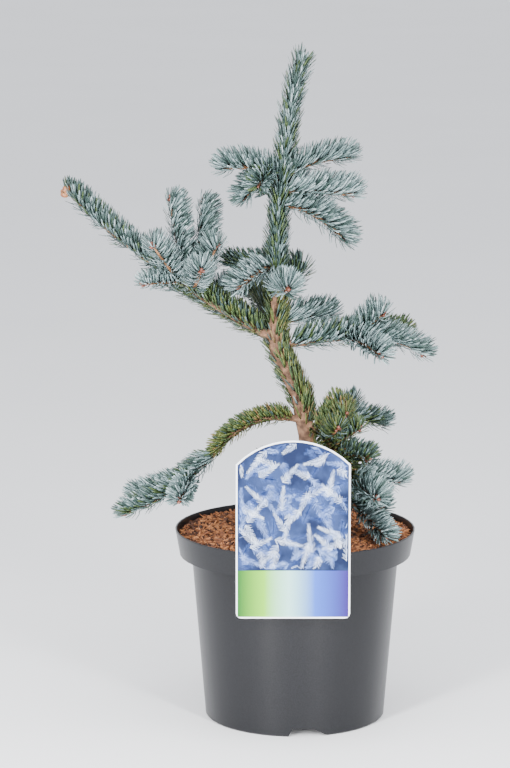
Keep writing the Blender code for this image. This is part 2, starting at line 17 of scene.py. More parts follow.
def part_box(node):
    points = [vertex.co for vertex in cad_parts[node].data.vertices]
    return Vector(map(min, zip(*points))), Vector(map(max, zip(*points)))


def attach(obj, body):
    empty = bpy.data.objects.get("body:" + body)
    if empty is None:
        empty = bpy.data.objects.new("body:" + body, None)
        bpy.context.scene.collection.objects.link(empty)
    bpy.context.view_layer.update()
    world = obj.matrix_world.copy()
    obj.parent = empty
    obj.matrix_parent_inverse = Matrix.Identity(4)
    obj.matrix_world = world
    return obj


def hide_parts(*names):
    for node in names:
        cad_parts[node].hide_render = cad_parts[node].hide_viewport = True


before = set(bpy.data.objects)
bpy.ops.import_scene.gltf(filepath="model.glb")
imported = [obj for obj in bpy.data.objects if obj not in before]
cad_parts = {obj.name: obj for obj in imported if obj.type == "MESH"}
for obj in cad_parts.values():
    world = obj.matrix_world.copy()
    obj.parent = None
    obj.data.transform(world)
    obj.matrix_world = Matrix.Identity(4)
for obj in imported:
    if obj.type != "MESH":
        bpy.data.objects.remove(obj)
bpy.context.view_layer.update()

MM = 0.001

# Camera, fitted to the photo
CAMERA_PLACE = (-0.03865, -3.078, 0.9056)
CAMERA_PITCH = 79.32
CAMERA_LENS = 153.33

# Studio: each light's name, place, aim, width, height and watts
LIGHTS = (
    ("left_box", (-1.1, -1.9, 1.0), (0, 0, 0.25), 0.3, 1.5, 72),
    ("right_box", (1.0, -1.9, 1.0), (0, 0, 0.25), 0.2, 1.4, 46),
    ("left_strip", (-0.42, -0.76, 0.3), (0, 0, 0.1), 0.07, 0.6, 9),
    ("right_strip", (0.36, -0.74, 0.3), (0, 0, 0.1), 0.05, 0.6, 6),
    ("top_box", (0, -0.5, 2.2), (0, 0, 0.3), 1.4, 1.4, 36),
)
SKY_COLOUR = (0.93, 0.95, 1, 1)
SKY_STRENGTH = 1.4
FLOOR_HALF = 40

# Places of the colour sockets on a Mix node
MIX_FACTOR, MIX_FIRST, MIX_SECOND, MIX_RESULT = 0, 6, 7, 2

# Pot: how its rim is found and rounded, and which faces count as its round walls
MERGE_DISTANCE = 0.00001
FLAT_ANGLE = 0.5
RIM_DEPTH = 0.01 * MM
RIM_ANGLE = 1
RIM_BEVEL = 0.6 * MM
WALL_LEVEL = 0.05
WALL_FACING = 0.98

# Soil, as high as the solid's
SOIL_MIDDLE = 183 * MM
SOIL_EDGE = 177 * MM
SOIL_FLAT_RADIUS = 42 * MM
SOIL_RADIUS = 112 * MM

# Coir: shares of the three browns, half sizes and lift in mm, tilt and roll in radians
CHIPS = 5200
FIBRES = 1400
COIR_SHARES = (5, 4, 3)
STREWN_SHARE = 0.985
CHIP_HALF_SIZES = ((1.2, 5.2), (0.7, 2.3), (0.4, 1.1))
FIBRE_HALF_LENGTH = (4, 13)
FIBRE_HALF_WIDTH = 0.26
COIR_LIFT = (-0.5, 2.6)
COIR_TILT = 0.35
COIR_ROLL = 0.5
CORNER_WEAR = (0.6, 1.1)

# Label print, worked out from the plate's box: strokes in mm, angles in radians
PRINT_INSET = 1.6 * MM
PRINT_DEPTH = 0.06 * MM
BAND_HEIGHT = 46 * MM
LABEL_ARCH = 22.7 * MM
ARCH_POINTS = 13
SPRIGS = 150
SPRIG_STEPS = 20
INK_HALF_WIDTH = 0.2
INK_SPECULAR = 0.15
INK_ROUGHNESS = 0.45
INK_FIRST_LAYER = 1.3
INK_LAYER_STEP = 0.015
DEEP_UNTIL = 0.35
BLUE_UNTIL = 0.7
SPRIG_LENGTH = (14, 26)
BARB_ANGLE = 0.95
BARB_ANGLE_LOSS = 0.45
BARB_WANDER = 0.2
BARB_LENGTH = 5.4
BARB_LENGTH_LOSS = 2.6
BARB_TAPER = 0.4

# Trunk and leader, in mm: distance to the right of the origin, height, radius
TRUNK = (
    (13, 183.3, 12.5), (13, 190, 10.4), (13, 202, 9.2), (13, 241, 8.5), (12, 271, 8.2),
    (7, 295, 7.8), (3, 315, 7.3), (-7, 335, 7.4), (-16, 356, 8.4), (-20, 373, 7.2),
    (-19.5, 390, 5.0), (-19, 407, 4.5), (-18, 443, 4.2), (-17, 472, 4.0), (-16, 503, 4.2),
    (-14, 520, 3.4), (-10, 546, 2.9), (-6, 583, 2.3), (-1, 612, 1.8), (5, 633, 1.3),
)

# Limbs: their radii, and how finely their lines and bark are made
STEM_RADIUS = 2.6 * MM
SHOOT_RADIUS = 2.0 * MM
TIP_RADIUS = 1.2 * MM
BARK_SIDES = 24
BOUGH_SIDES = 12
TWIG_SIDES = 8
BARK_RELIEF = 0.55 * MM
BOUGH_RELIEF = 0.25 * MM
TWIG_RELIEF = 0.1 * MM
RING_STEP = 1.6 * MM
ARC_STEP = 4 * MM
TRUNK_STEP = 6
LOOK_AHEAD = 3 * MM
LEAST_UP = 0.05
RIDGE_SCALE = 420
RIDGE_STRETCH = 0.45
GRAIN_SCALE = 1300
GRAIN_SHARE = 0.5

# Where limbs root in the trunk, in shares of its radius, and how much of each is bare
LIMB_ROOT = 0.5
LIMB_REACH = 0.6
STEM_TIP = 1.2
BARE_BOUGH = 10 * MM
BARE_STEM = 4 * MM
BARE_SHOOT = 2 * MM

# Needles: how many on a centimetre of shoot, their angles in degrees, and how they stand
NEEDLES_PER_CM = 74
GOLDEN_ANGLE = 137.5
NEEDLE_HALF_WIDTH = 0.92 * MM
NEEDLE_RIDGE = 0.5 * MM
NEEDLE_SHARE = 0.98
NEEDLE_RINGS = ((0, 0.6), (0.45, 1.0), (0.9, 0.8))
NEEDLE_LIFT = 0.42
UNDERSIDE = 125
UNDERSIDE_BARE = 0.7
LEAN = (14, 32)
TIP_STARTS = 0.85
TIP_LEAN = 34
TRUNK_LEAN = (34, 58)
TRUNK_SPREAD = 48
LEAST_SIDE = 0.02
TURN_WANDER = 14
ROOT_DEPTH = 0.7
TRUNK_ROOT_DEPTH = 0.85
SWEPT_FROM = 60
SWEEP = 0.86
LIFT_UP = 0.7
LIFT_AHEAD = 0.6
LENGTH_SPREAD = (0.88, 1.04)
TRUNK_LENGTHS = (0.75, 1.1)
TIP_LENGTH, TIP_GROWTH = 0.7, 2.2
FOOT_LENGTH, FOOT_GROWTH = 0.72, 4

Shoot = namedtuple("Shoot", "along heading rise length bend needle tone facing", defaults=(None,))
Limb = namedtuple("Limb", "name foot heading rise length bend needle tone shoots")

LIMBS = (
    Limb("upper_left", 521, 195, 36, 56, -46, 17, "blue", (
        Shoot(10, 205, -30, 34, -24, 16, "blue"),
        Shoot(12, 250, -10, 26, -24, 15, "grey"),
    )),
    Limb("upper_back_left", 515, 116, -10, 38, 0, 15, "dark", ()),
    Limb("upper_right_high", 523, 12, 33, 67, -36, 16, "blue", ()),
    Limb("upper_right_middle", 512, 352, 0, 66, -4, 18, "pale", ()),
    Limb("upper_right_low", 499, 338, -3, 70, -45, 18, "blue", ()),
    Limb("upper_back", 506, 62, 8, 41, -8, 15, "dark", ()),
    Limb("mid_left_back", 436, 153, 5, 45, -8, 15, "dark", ()),
    Limb("mid_left", 442, 213, -16, 43, -17, 16, "pale", ()),
    Limb("mid_front", 421, 283, 0, 44, 8, 18, "pale", ()),
    Limb("mid_right", 402, 43, 36, 41, 12, 19, "dark", ()),
    Limb("mid_back", 436, 92, 12, 42, -8, 15, "dark", ()),
    Limb("right", 363, 351, 7, 76, 3, 18, "grey", (
        Shoot(66, 345, 36, 36, 6, 18, "blue"),
        Shoot(60, 308, -4, 50, -18, 17, "pale"),
        Shoot(68, 33, 4, 58, -12, 15, "green"),
        Shoot(76, 357, -5, 60, -26, 16, "blue"),
    )),
    Limb("right_back", 385, 23, 4, 51, -3, 18, "blue", ()),
    Limb("left", 370, 187, 26, 102, 13, 15, "green", (
        Shoot(102, 180, 30, 135, 18, 16, "grey"),
        Shoot(99, 229, 40, 54, 10, 17, "pale"),
        Shoot(98, 213, 0, 42, 4, 12, "pale"),
        Shoot(92, 178, 76, 84, 8, 17, "blue", 0),
        Shoot(84, 70, 68, 86, 6, 17, "blue", 0),
        Shoot(82, 318, 55, 56, 8, 17, "blue"),
        Shoot(84, 281, 28, 50, 4, 17, "pale"),
        Shoot(94, 95, 24, 52, -6, 15, "dark"),
    )),
    Limb("back_left", 367, 150, 20, 88, 4, 15, "green", (
        Shoot(88, 160, 20, 44, -4, 15, "grey"),
        Shoot(76, 112, 14, 50, -8, 15, "blue"),
        Shoot(64, 76, 26, 38, -6, 15, "blue"),
    )),
    Limb("back", 376, 99, 14, 78, 0, 15, "green", (
        Shoot(78, 96, 8, 52, -10, 16, "blue"),
        Shoot(66, 58, 10, 48, -8, 15, "blue"),
        Shoot(70, 136, 12, 46, -8, 15, "grey"),
    )),
    Limb("low_left", 289, 202, 20, 92, -72, 11, "olive", (
        Shoot(92, 196, -46, 106, 30, 15, "grey"),
        Shoot(130, 170, -22, 54, 6, 14, "blue"),
        Shoot(126, 256, -22, 40, 0, 15, "pale"),
    )),
    Limb("low_right", 289, 310, -14, 82, -44, 15, "olive", (
        Shoot(28, 288, 26, 34, 8, 14, "green"),
        Shoot(36, 335, 30, 34, 8, 14, "green"),
        Shoot(16, 345, 52, 38, 4, 15, "olive"),
        Shoot(26, 318, 44, 36, 6, 15, "olive"),
        Shoot(20, 15, 40, 36, 0, 15, "olive"),
        Shoot(46, 322, 2, 36, -6, 15, "dark"),
        Shoot(82, 302, -4, 40, -8, 18, "blue"),
        Shoot(72, 356, -8, 48, 4, 18, "pale"),
    )),
    Limb("low_right_back", 281, 38, 6, 40, 0, 14, "green", (
        Shoot(34, 66, 14, 34, 6, 15, "grey"),
        Shoot(40, 12, -8, 40, -6, 15, "grey"),
    )),
    Limb("low_front", 243, 324, -26, 58, -6, 14, "grey", (
        Shoot(58, 313, -28, 42, -6, 15, "pale"),
        Shoot(48, 350, -8, 32, 0, 14, "blue"),
    )),
    Limb("low_front_left", 250, 232, -10, 54, -16, 15, "green", (
        Shoot(54, 222, -14, 26, -4, 14, "grey"),
        Shoot(46, 262, -10, 36, -4, 15, "blue"),
    )),
    Limb("low_back", 236, 98, 4, 62, -14, 15, "green", (
        Shoot(62, 100, -8, 44, -8, 15, "blue"),
        Shoot(54, 56, -4, 42, -8, 15, "grey"),
        Shoot(56, 142, -4, 40, -8, 15, "blue"),
    )),
)

# Limbs with a bough of their own, and its radius at the trunk in mm
THICK_LIMBS = {
    "left": 4.3, "right": 3.6, "low_left": 3.6, "low_right": 4.0, "back": 3.8,
    "back_left": 3.9, "low_right_back": 3.2, "low_front": 3.2, "low_front_left": 3.2,
    "low_back": 3.4,
}

# Stretches of the trunk that carry needles: foot, top, needle, tone, heading they face, density
LEADER_STRETCHES = (
    (284, 424, 14, "olive", 10, 0.9),
    (300, 420, 11, "green", 150, 0.3),
    (420, 512, 14, "dark", None, 0.8),
    (512, 632, 15, "grey", None, 0.8),
)

# Limbs whose needles are joined, and likewise their twigs and their buds
REGIONS = {
    "crown": ("upper_left", "upper_back_left", "upper_right_high", "upper_right_middle",
              "upper_right_low", "upper_back"),
    "middle": ("mid_left_back", "mid_left", "mid_front", "mid_right", "mid_back"),
    "right": ("right", "right_back"),
    "left": ("left",),
    "back": ("back_left", "back"),
    "low_green": ("low_left", "low_right"),
    "low": ("low_right_back", "low_front", "low_front_left", "low_back"),
}
SLEEVE_NODES = ("foliage_trunk", "foliage_mid_leader", "foliage_leader")

# Needle colours and how often each tone deals them out
NEEDLE_COLOURS = {
    "needle_pale": ((0.22, 0.30, 0.31), (0.37, 0.46, 0.47)),
    "needle_blue": ((0.095, 0.15, 0.15), (0.19, 0.26, 0.262)),
    "needle_deep": ((0.022, 0.045, 0.040), (0.062, 0.10, 0.09)),
    "needle_green": ((0.028, 0.052, 0.018), (0.075, 0.115, 0.042)),
    "needle_olive": ((0.055, 0.075, 0.018), (0.135, 0.155, 0.042)),
    "needle_brown": ((0.12, 0.07, 0.025), (0.22, 0.15, 0.06)),
}
TONES = {
    "pale": (4, 5, 2, 0, 0, 0),
    "blue": (2, 6, 4, 0, 0, 0),
    "grey": (1, 4, 5, 2, 0, 0),
    "dark": (0, 2, 6, 3, 0, 0),
    "green": (0, 1, 3, 6, 2, 0),
    "olive": (0, 0, 1, 5, 6, 1),
}

# Buds: limbs that end in big ones, the ring of side buds, and the resin buds in mm
BUDDED = ("left", "upper_right_middle", "mid_front", "right", "low_right", "low_left")
BUD_RADIUS = 1.3 * MM
BIG_BUD_RADIUS = 1.9 * MM
BUD_STRETCH = 1.35
SIDE_BUD_TURNS = (20, 140, 260)
SIDE_BUD_OUT = 1.3
SIDE_BUD_DROP = 1.2
SIDE_BUD_SHARE = 0.8
RESIN_BUDS = 9
RESIN_OUT = (2.5, 5)
RESIN_AHEAD = (-3, 2.5)
RESIN_LEAN = 0.8
RESIN_RADIUS = (2.6, 3.6)


def mottle_group():
    """Soft noise in the piece's own coordinates, as a mask and as a bumped normal."""
    group = bpy.data.node_groups.new("mottle", "ShaderNodeTree")
    face = group.interface
    face.new_socket("Scale", in_out="INPUT", socket_type="NodeSocketFloat").default_value = 60
    face.new_socket("Bump", in_out="INPUT", socket_type="NodeSocketFloat").default_value = 0
    face.new_socket("Mask", in_out="OUTPUT", socket_type="NodeSocketFloat")
    face.new_socket("Normal", in_out="OUTPUT", socket_type="NodeSocketVector")
    entry = group.nodes.new("NodeGroupInput")
    leave = group.nodes.new("NodeGroupOutput")
    coords = group.nodes.new("ShaderNodeTexCoord")
    grain = group.nodes.new("ShaderNodeTexNoise")
    grain.inputs["Detail"].default_value = 4
    spread = group.nodes.new("ShaderNodeMapRange")
    spread.inputs["From Min"].default_value = 0.36
    spread.inputs["From Max"].default_value = 0.64
    bump = group.nodes.new("ShaderNodeBump")
    bump.inputs["Distance"].default_value = 0.001
    wire = group.links.new
    wire(coords.outputs["Object"], grain.inputs["Vector"])
    wire(entry.outputs["Scale"], grain.inputs["Scale"])
    wire(grain.outputs["Fac"], spread.inputs["Value"])
    wire(grain.outputs["Fac"], bump.inputs["Height"])
    wire(entry.outputs["Bump"], bump.inputs["Strength"])
    wire(spread.outputs["Result"], leave.inputs["Mask"])
    wire(bump.outputs["Normal"], leave.inputs["Normal"])
    return group


MOTTLE = mottle_group()


def finish_of(name, dark, light, scale, rough, bump=0.0, specular=0.5):
    """A Principled material that wanders between two colours."""
    made = bpy.data.materials.new(name)
    made.use_nodes = True
    tree = made.node_tree
    shader = tree.nodes["Principled BSDF"]
    shader.inputs["Roughness"].default_value = rough
    shader.inputs["Specular IOR Level"].default_value = specular
    cloud = tree.nodes.new("ShaderNodeGroup")
    cloud.node_tree = MOTTLE
    cloud.inputs["Scale"].default_value = scale
    cloud.inputs["Bump"].default_value = bump
    blend = tree.nodes.new("ShaderNodeMix")
    blend.data_type = "RGBA"
    blend.inputs[MIX_FIRST].default_value = (*dark, 1)
    blend.inputs[MIX_SECOND].default_value = (*light, 1)
    tree.links.new(cloud.outputs["Mask"], blend.inputs[MIX_FACTOR])
    tree.links.new(blend.outputs[MIX_RESULT], shader.inputs["Base Color"])
    if bump:
        tree.links.new(cloud.outputs["Normal"], shader.inputs["Normal"])
    return made


def band_finish(left, width):
    """The label's lower band: green, yellow green, light blue and violet from left to right."""
    made = finish_of("label_band", (0, 0, 0), (1, 1, 1), 30, INK_ROUGHNESS, specular=INK_SPECULAR)
    tree = made.node_tree
    coords = tree.nodes.new("ShaderNodeTexCoord")
    parts = tree.nodes.new("ShaderNodeSeparateXYZ")
    reach = tree.nodes.new("ShaderNodeMapRange")
    reach.inputs["From Min"].default_value = left
    reach.inputs["From Max"].default_value = left + width
    ramp = tree.nodes.new("ShaderNodeValToRGB")
    stops = ramp.color_ramp.elements
    stops[0].color = (0.012, 0.10, 0.015, 1)
    stops[1].color = (0.03, 0.012, 0.13, 1)
    for share, colour in ((0.24, (0.16, 0.42, 0.025, 1)), (0.46, (0.30, 0.55, 0.50, 1)),
                          (0.7, (0.035, 0.10, 0.46, 1))):
        stops.new(share).color = colour
    wire = tree.links.new
    wire(coords.outputs["Object"], parts.inputs["Vector"])
    wire(parts.outputs["X"], reach.inputs["Value"])
    wire(reach.outputs["Result"], ramp.inputs["Fac"])
    wire(ramp.outputs["Color"], tree.nodes["Principled BSDF"].inputs["Base Color"])
    return made


def place(name, mesh, finishes, nodes=()):
    """A finished piece that rides on the plant's body and stands for some solids."""
    piece = bpy.data.objects.new(name, mesh)
    bpy.context.scene.collection.objects.link(piece)
    for finish in finishes:
        mesh.materials.append(finish)
    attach(piece, "root")
    if nodes:
        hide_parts(*nodes)
    return piece


class Batch:
    """Many small solids that are joined in one mesh, from arrays."""

    def __init__(self):
        self.points = []
        self.faces = []
        self.kinds = []

    def add(self, points, faces, kind=0):
        """One more solid, with the index of its material."""
        first = len(self.points)
        self.points.extend(points)
        self.faces.extend([tuple(first + i for i in face) for face in faces])
        self.kinds.extend([kind] * len(faces))

    def mesh(self, name, smooth=True):
        """The joined mesh."""
        made = bpy.data.meshes.new(name)
        made.from_pydata(self.points, [], self.faces)
        made.polygons.foreach_set("material_index", self.kinds)
        made.polygons.foreach_set("use_smooth", [smooth] * len(self.faces))
        made.update()
        return made


class Line:
    """The centre line of a limb, with its radius at each point."""

    def __init__(self, points, radii):
        self.points = np.array(points)
        self.radii = np.array(radii)
        steps = np.linalg.norm(self.points[1:] - self.points[:-1], axis=1)
        self.marks = np.concatenate(([0], np.cumsum(steps)))
        self.length = self.marks[-1]

    def at(self, along):
        """The point at a distance from the foot."""
        return Vector([np.interp(along, self.marks, axis) for axis in self.points.T])

    def ahead(self, along):
        """The direction at a distance from the foot."""
        first = max(0, min(along, self.length - LOOK_AHEAD))
        return (self.at(first + LOOK_AHEAD) - self.at(first)).normalized()

    def radius(self, along):
        """The radius at a distance from the foot."""
        return float(np.interp(along, self.marks, self.radii))


def arc_line(start, heading, rise, length, bend, foot_radius, tip_radius):
    """A limb that leaves a point at a heading and rise, and bends evenly along its length."""
    steps = max(4, ceil(length / ARC_STEP))
    level = radians(heading)
    points = [Vector(start)]
    for number in range(steps):
        tilt = radians(rise + bend * (number + 0.5) / steps)
        ahead = Vector((cos(level) * cos(tilt), sin(level) * cos(tilt), sin(tilt)))
        points.append(points[-1] + ahead * length / steps)
    return Line(points, np.linspace(foot_radius, tip_radius, steps + 1))


def trunk_line(foot=TRUNK[0][1], top=TRUNK[-1][1]):
    """The trunk's centre line between two heights."""
    heights = [height for across, height, radius in TRUNK]
    levels = np.linspace(foot, top, max(4, int((top - foot) / TRUNK_STEP)))
    across = np.interp(levels, heights, [point[0] for point in TRUNK])
    radii = np.interp(levels, heights, [point[2] for point in TRUNK])
    points = np.column_stack((across, np.zeros(len(levels)), levels)) * MM
    return Line(points, radii * MM)


def frame_at(line, along, upper):
    """The direction ahead, up and to the side at a place on a limb."""
    ahead = line.ahead(along)
    up = upper - ahead * upper.dot(ahead)
    if up.length < LEAST_UP:
        up = Vector((1, 0, 0)) - ahead * ahead.x
    up.normalize()
    return ahead, up, ahead.cross(up)


def add_limb(batch, line, sides, relief):
    """A tube along a limb; relief lifts its skin into ridges and bumps."""
    count = max(4, round(line.length / RING_STEP))
    points = []
    for along in np.linspace(0, line.length, count):
        ahead, up, side = frame_at(line, along, Vector((0.1, 1, 0.2)))
        for turn in range(sides):
            angle = 2 * pi * turn / sides
            out = up * cos(angle) + side * sin(angle)
            spot = line.at(along) + out * line.radius(along)
            ridge = noise.noise(Vector((spot.x, spot.y, spot.z * RIDGE_STRETCH)) * RIDGE_SCALE)
            fine = noise.noise(spot * GRAIN_SCALE)
            points.append(spot + out * relief * (ridge + GRAIN_SHARE * fine))
    faces = [tuple(range(sides - 1, -1, -1))]
    for row in range(count - 1):
        for turn in range(sides):
            after = (turn + 1) % sides
            low, high = row * sides, (row + 1) * sides
            faces.append((low + turn, low + after, high + after, high + turn))
    faces.append(tuple((count - 1) * sides + turn for turn in range(sides)))
    batch.add(points, faces)


def add_needle(batch, root, way, lift, length, kind):
    """A flat, keeled needle that curves as it goes: three rings of three points and a tip."""
    side = way.cross(lift)
    if side.length < LEAST_SIDE:
        side = way.orthogonal()
    side.normalize()
    ridge = side.cross(way)
    points = []
    for share, width in NEEDLE_RINGS:
        spot = root + way * (length * share) + lift * (length * share * share * NEEDLE_LIFT)
        points.append(spot - side * NEEDLE_HALF_WIDTH * width)
        points.append(spot + side * NEEDLE_HALF_WIDTH * width)
        points.append(spot + ridge * NEEDLE_RIDGE * width)
    points.append(root + way * length + lift * length * NEEDLE_LIFT)
    faces = [(0, 2, 1)]
    for low in (0, 3):
        for a, b in ((0, 1), (1, 2), (2, 0)):
            faces.append((low + a, low + b, low + 3 + b, low + 3 + a))
    faces += [(6, 7, 9), (7, 8, 9), (8, 6, 9)]
    batch.add(points, faces, kind)


def grow_needles(batch, line, first, needle, tone, dice, facing=None):
    """Needles in a spiral round a shoot: those past its sides sweep up, few grow below it."""
    upper = Vector((0, 0, 1))
    if facing is not None:
        upper = Vector((cos(radians(facing)), sin(radians(facing)), 0.3))
    weights = TONES[tone]
    count = int((line.length - first) / (10 * MM) * NEEDLES_PER_CM)
    for number in range(count):
        share = (number + dice.random()) / count
        along = first + (line.length - first) * share
        turn = (number * GOLDEN_ANGLE + dice.uniform(-TURN_WANDER, TURN_WANDER)) % 360 - 180
        if abs(turn) > UNDERSIDE and dice.random() < UNDERSIDE_BARE:
            continue
        ahead, up, side = frame_at(line, along, upper)
        out = up * cos(radians(turn)) + side * sin(radians(turn))
        root = line.at(along) + out * line.radius(along) * ROOT_DEPTH
        swept = turn * (SWEEP if abs(turn) > SWEPT_FROM else 1.0)
        out = up * cos(radians(swept)) + side * sin(radians(swept))
        near_tip = max(0, share - TIP_STARTS) / (1 - TIP_STARTS)
        lean = radians(dice.uniform(*LEAN) + TIP_LEAN * near_tip)
        way = out * cos(lean) + ahead * sin(lean)
        lift = (up * LIFT_UP + ahead * LIFT_AHEAD).normalized()
        size = needle * MM * NEEDLE_SHARE * dice.uniform(*LENGTH_SPREAD)
        size *= min(1.0, TIP_LENGTH + TIP_GROWTH * (1 - share), FOOT_LENGTH + FOOT_GROWTH * share)
        kind = dice.choices(range(len(weights)), weights)[0]
        add_needle(batch, root, way, lift, size, kind)


def grow_stretch(batch, foot, top, needle, tone, facing, density, dice):
    """Needles on a stretch of the trunk, all round it or on the side that faces a heading."""
    line = trunk_line(foot, top)
    count = int(line.length / (10 * MM) * NEEDLES_PER_CM * density)
    weights = TONES[tone]
    for number in range(count):
        along = line.length * (number + dice.random()) / count
        if facing is None:
            turn = number * GOLDEN_ANGLE
        else:
            turn = facing + dice.gauss(0, TRUNK_SPREAD)
        ahead = line.ahead(along)
        out = Vector((cos(radians(turn)), sin(radians(turn)), 0))
        out = (out - ahead * out.dot(ahead)).normalized()
        root = line.at(along) + out * line.radius(along) * TRUNK_ROOT_DEPTH
        lean = radians(dice.uniform(*TRUNK_LEAN))
        way = out * cos(lean) + ahead * sin(lean)
        kind = dice.choices(range(len(weights)), weights)[0]
        add_needle(batch, root, way, ahead, needle * MM * dice.uniform(*TRUNK_LENGTHS), kind)


def add_bud(work, spot, ahead, radius):
    """One pointed round bud."""
    turn = ahead.to_track_quat("Z", "Y").to_matrix().to_4x4()
    shape = Matrix.Translation(spot) @ turn @ Matrix.Diagonal((1, 1, BUD_STRETCH, 1))
    bmesh.ops.create_icosphere(work, subdivisions=2, radius=radius, matrix=shape)


def add_tip_buds(work, line, dice, budded):
    """A middle bud and its ring of side buds at a shoot's end."""
    ahead, up, side = frame_at(line, line.length, Vector((0, 0, 1)))
    tip = line.at(line.length)
    size = BIG_BUD_RADIUS if budded else BUD_RADIUS
    add_bud(work, tip + ahead * size, ahead, size)
    for turn in SIDE_BUD_TURNS:
        out = up * cos(radians(turn)) + side * sin(radians(turn))
        spot = tip + out * size * SIDE_BUD_OUT - ahead * dice.uniform(0, SIDE_BUD_DROP) * MM
        add_bud(work, spot, (ahead + out).normalized(), size * SIDE_BUD_SHARE)


def resin_mesh(line, dice):
    """The orange cluster at the end of the long left shoot."""
    work = bmesh.new()
    ahead, up, side = frame_at(line, line.length, Vector((0, 0, 1)))
    tip = line.at(line.length)
    for number in range(RESIN_BUDS):
        turn = radians(number * GOLDEN_ANGLE)
        out = up * cos(turn) + side * sin(turn)
        spot = tip + out * dice.uniform(*RESIN_OUT) * MM + ahead * dice.uniform(*RESIN_AHEAD) * MM
        lean = (ahead + out * RESIN_LEAN).normalized()
        add_bud(work, spot, lean, dice.uniform(*RESIN_RADIUS) * MM)
    mesh = bpy.data.meshes.new("resin_buds")
    work.to_mesh(mesh)
    work.free()
    mesh.polygons.foreach_set("use_smooth", [True] * len(mesh.polygons))
    return mesh


def lines_of(limb):
    """A limb's own line and those of its shoots."""
    heights = [point[1] for point in TRUNK]
    across = np.interp(limb.foot, heights, [point[0] for point in TRUNK])
    centre = Vector((across, 0, limb.foot)) * MM
    radius = np.interp(limb.foot, heights, [point[2] for point in TRUNK]) * MM
    level, tilt = radians(limb.heading), radians(limb.rise)
    way = Vector((cos(level) * cos(tilt), sin(level) * cos(tilt), sin(tilt)))
    thick = THICK_LIMBS.get(limb.name, STEM_RADIUS / MM) * MM
    stem = arc_line(centre + way * radius * LIMB_ROOT, limb.heading, limb.rise,
                    limb.length * MM + radius * LIMB_REACH, limb.bend, thick,
                    SHOOT_RADIUS * STEM_TIP)
    lines = []
    for shoot in limb.shoots:
        carrier, along = stem, shoot.along * MM + radius * LIMB_REACH
        if shoot.along > limb.length + 1:
            carrier, along = lines[0], (shoot.along - limb.length) * MM
        lines.append(arc_line(carrier.at(along), shoot.heading, shoot.rise, shoot.length * MM,
                              shoot.bend, SHOOT_RADIUS, TIP_RADIUS))
    return stem, lines


def dress_plant(needle_finishes, bark, twig, bud, resin):
    """Bark on the trunk and limbs; needles, twigs and buds by region, each kind apart."""
    dice = random.Random(5)
    wood = Batch()
    add_limb(wood, trunk_line(), BARK_SIDES, BARK_RELIEF)
    for region, names in REGIONS.items():
        needles, twigs = Batch(), Batch()
        work = bmesh.new()
        for limb in (limb for limb in LIMBS if limb.name in names):
            stem, lines = lines_of(limb)
            carrier = wood if limb.name in THICK_LIMBS else twigs
            add_limb(carrier, stem, BOUGH_SIDES, BOUGH_RELIEF)
            bare = BARE_BOUGH if limb.name in THICK_LIMBS else BARE_STEM
            grow_needles(needles, stem, bare, limb.needle, limb.tone, dice)
            for line, shoot in zip(lines, limb.shoots):
                add_limb(twigs, line, TWIG_SIDES, TWIG_RELIEF)
                grow_needles(needles, line, BARE_SHOOT, shoot.needle, shoot.tone, dice,
                             shoot.facing)
                if line is lines[0] and limb.name == "left":
                    place("resin_buds", resin_mesh(line, dice), [resin])
                else:
                    add_tip_buds(work, line, dice, limb.name in BUDDED)
            if not lines:
                add_tip_buds(work, stem, dice, limb.name in BUDDED)
        mesh = needles.mesh("needles_" + region)
        nodes = ["foliage_" + name for name in names]
        place(mesh.name, mesh, needle_finishes, nodes)
        if twigs.points:
            mesh = twigs.mesh("twigs_" + region)
            place(mesh.name, mesh, [twig])
        buds = bpy.data.meshes.new("buds_" + region)
        work.to_mesh(buds)
        work.free()
        buds.polygons.foreach_set("use_smooth", [True] * len(buds.polygons))
        place(buds.name, buds, [bud])
    place("bark_wood", wood.mesh("bark_wood"), [bark],
          ["trunk"] + ["bough_" + name for name in THICK_LIMBS])
    sleeve = Batch()
    for foot, top, needle, tone, facing, density in LEADER_STRETCHES:
        grow_stretch(sleeve, foot, top, needle, tone, facing, density, dice)
    place("needles_trunk", sleeve.mesh("needles_trunk"), needle_finishes,
          SLEEVE_NODES)


def soil_height(out):
    """The soil's height at a distance from the pot's axis."""
    share = max(0, out - SOIL_FLAT_RADIUS) / (SOIL_RADIUS - SOIL_FLAT_RADIUS)
    return SOIL_MIDDLE + (SOIL_EDGE - SOIL_MIDDLE) * share


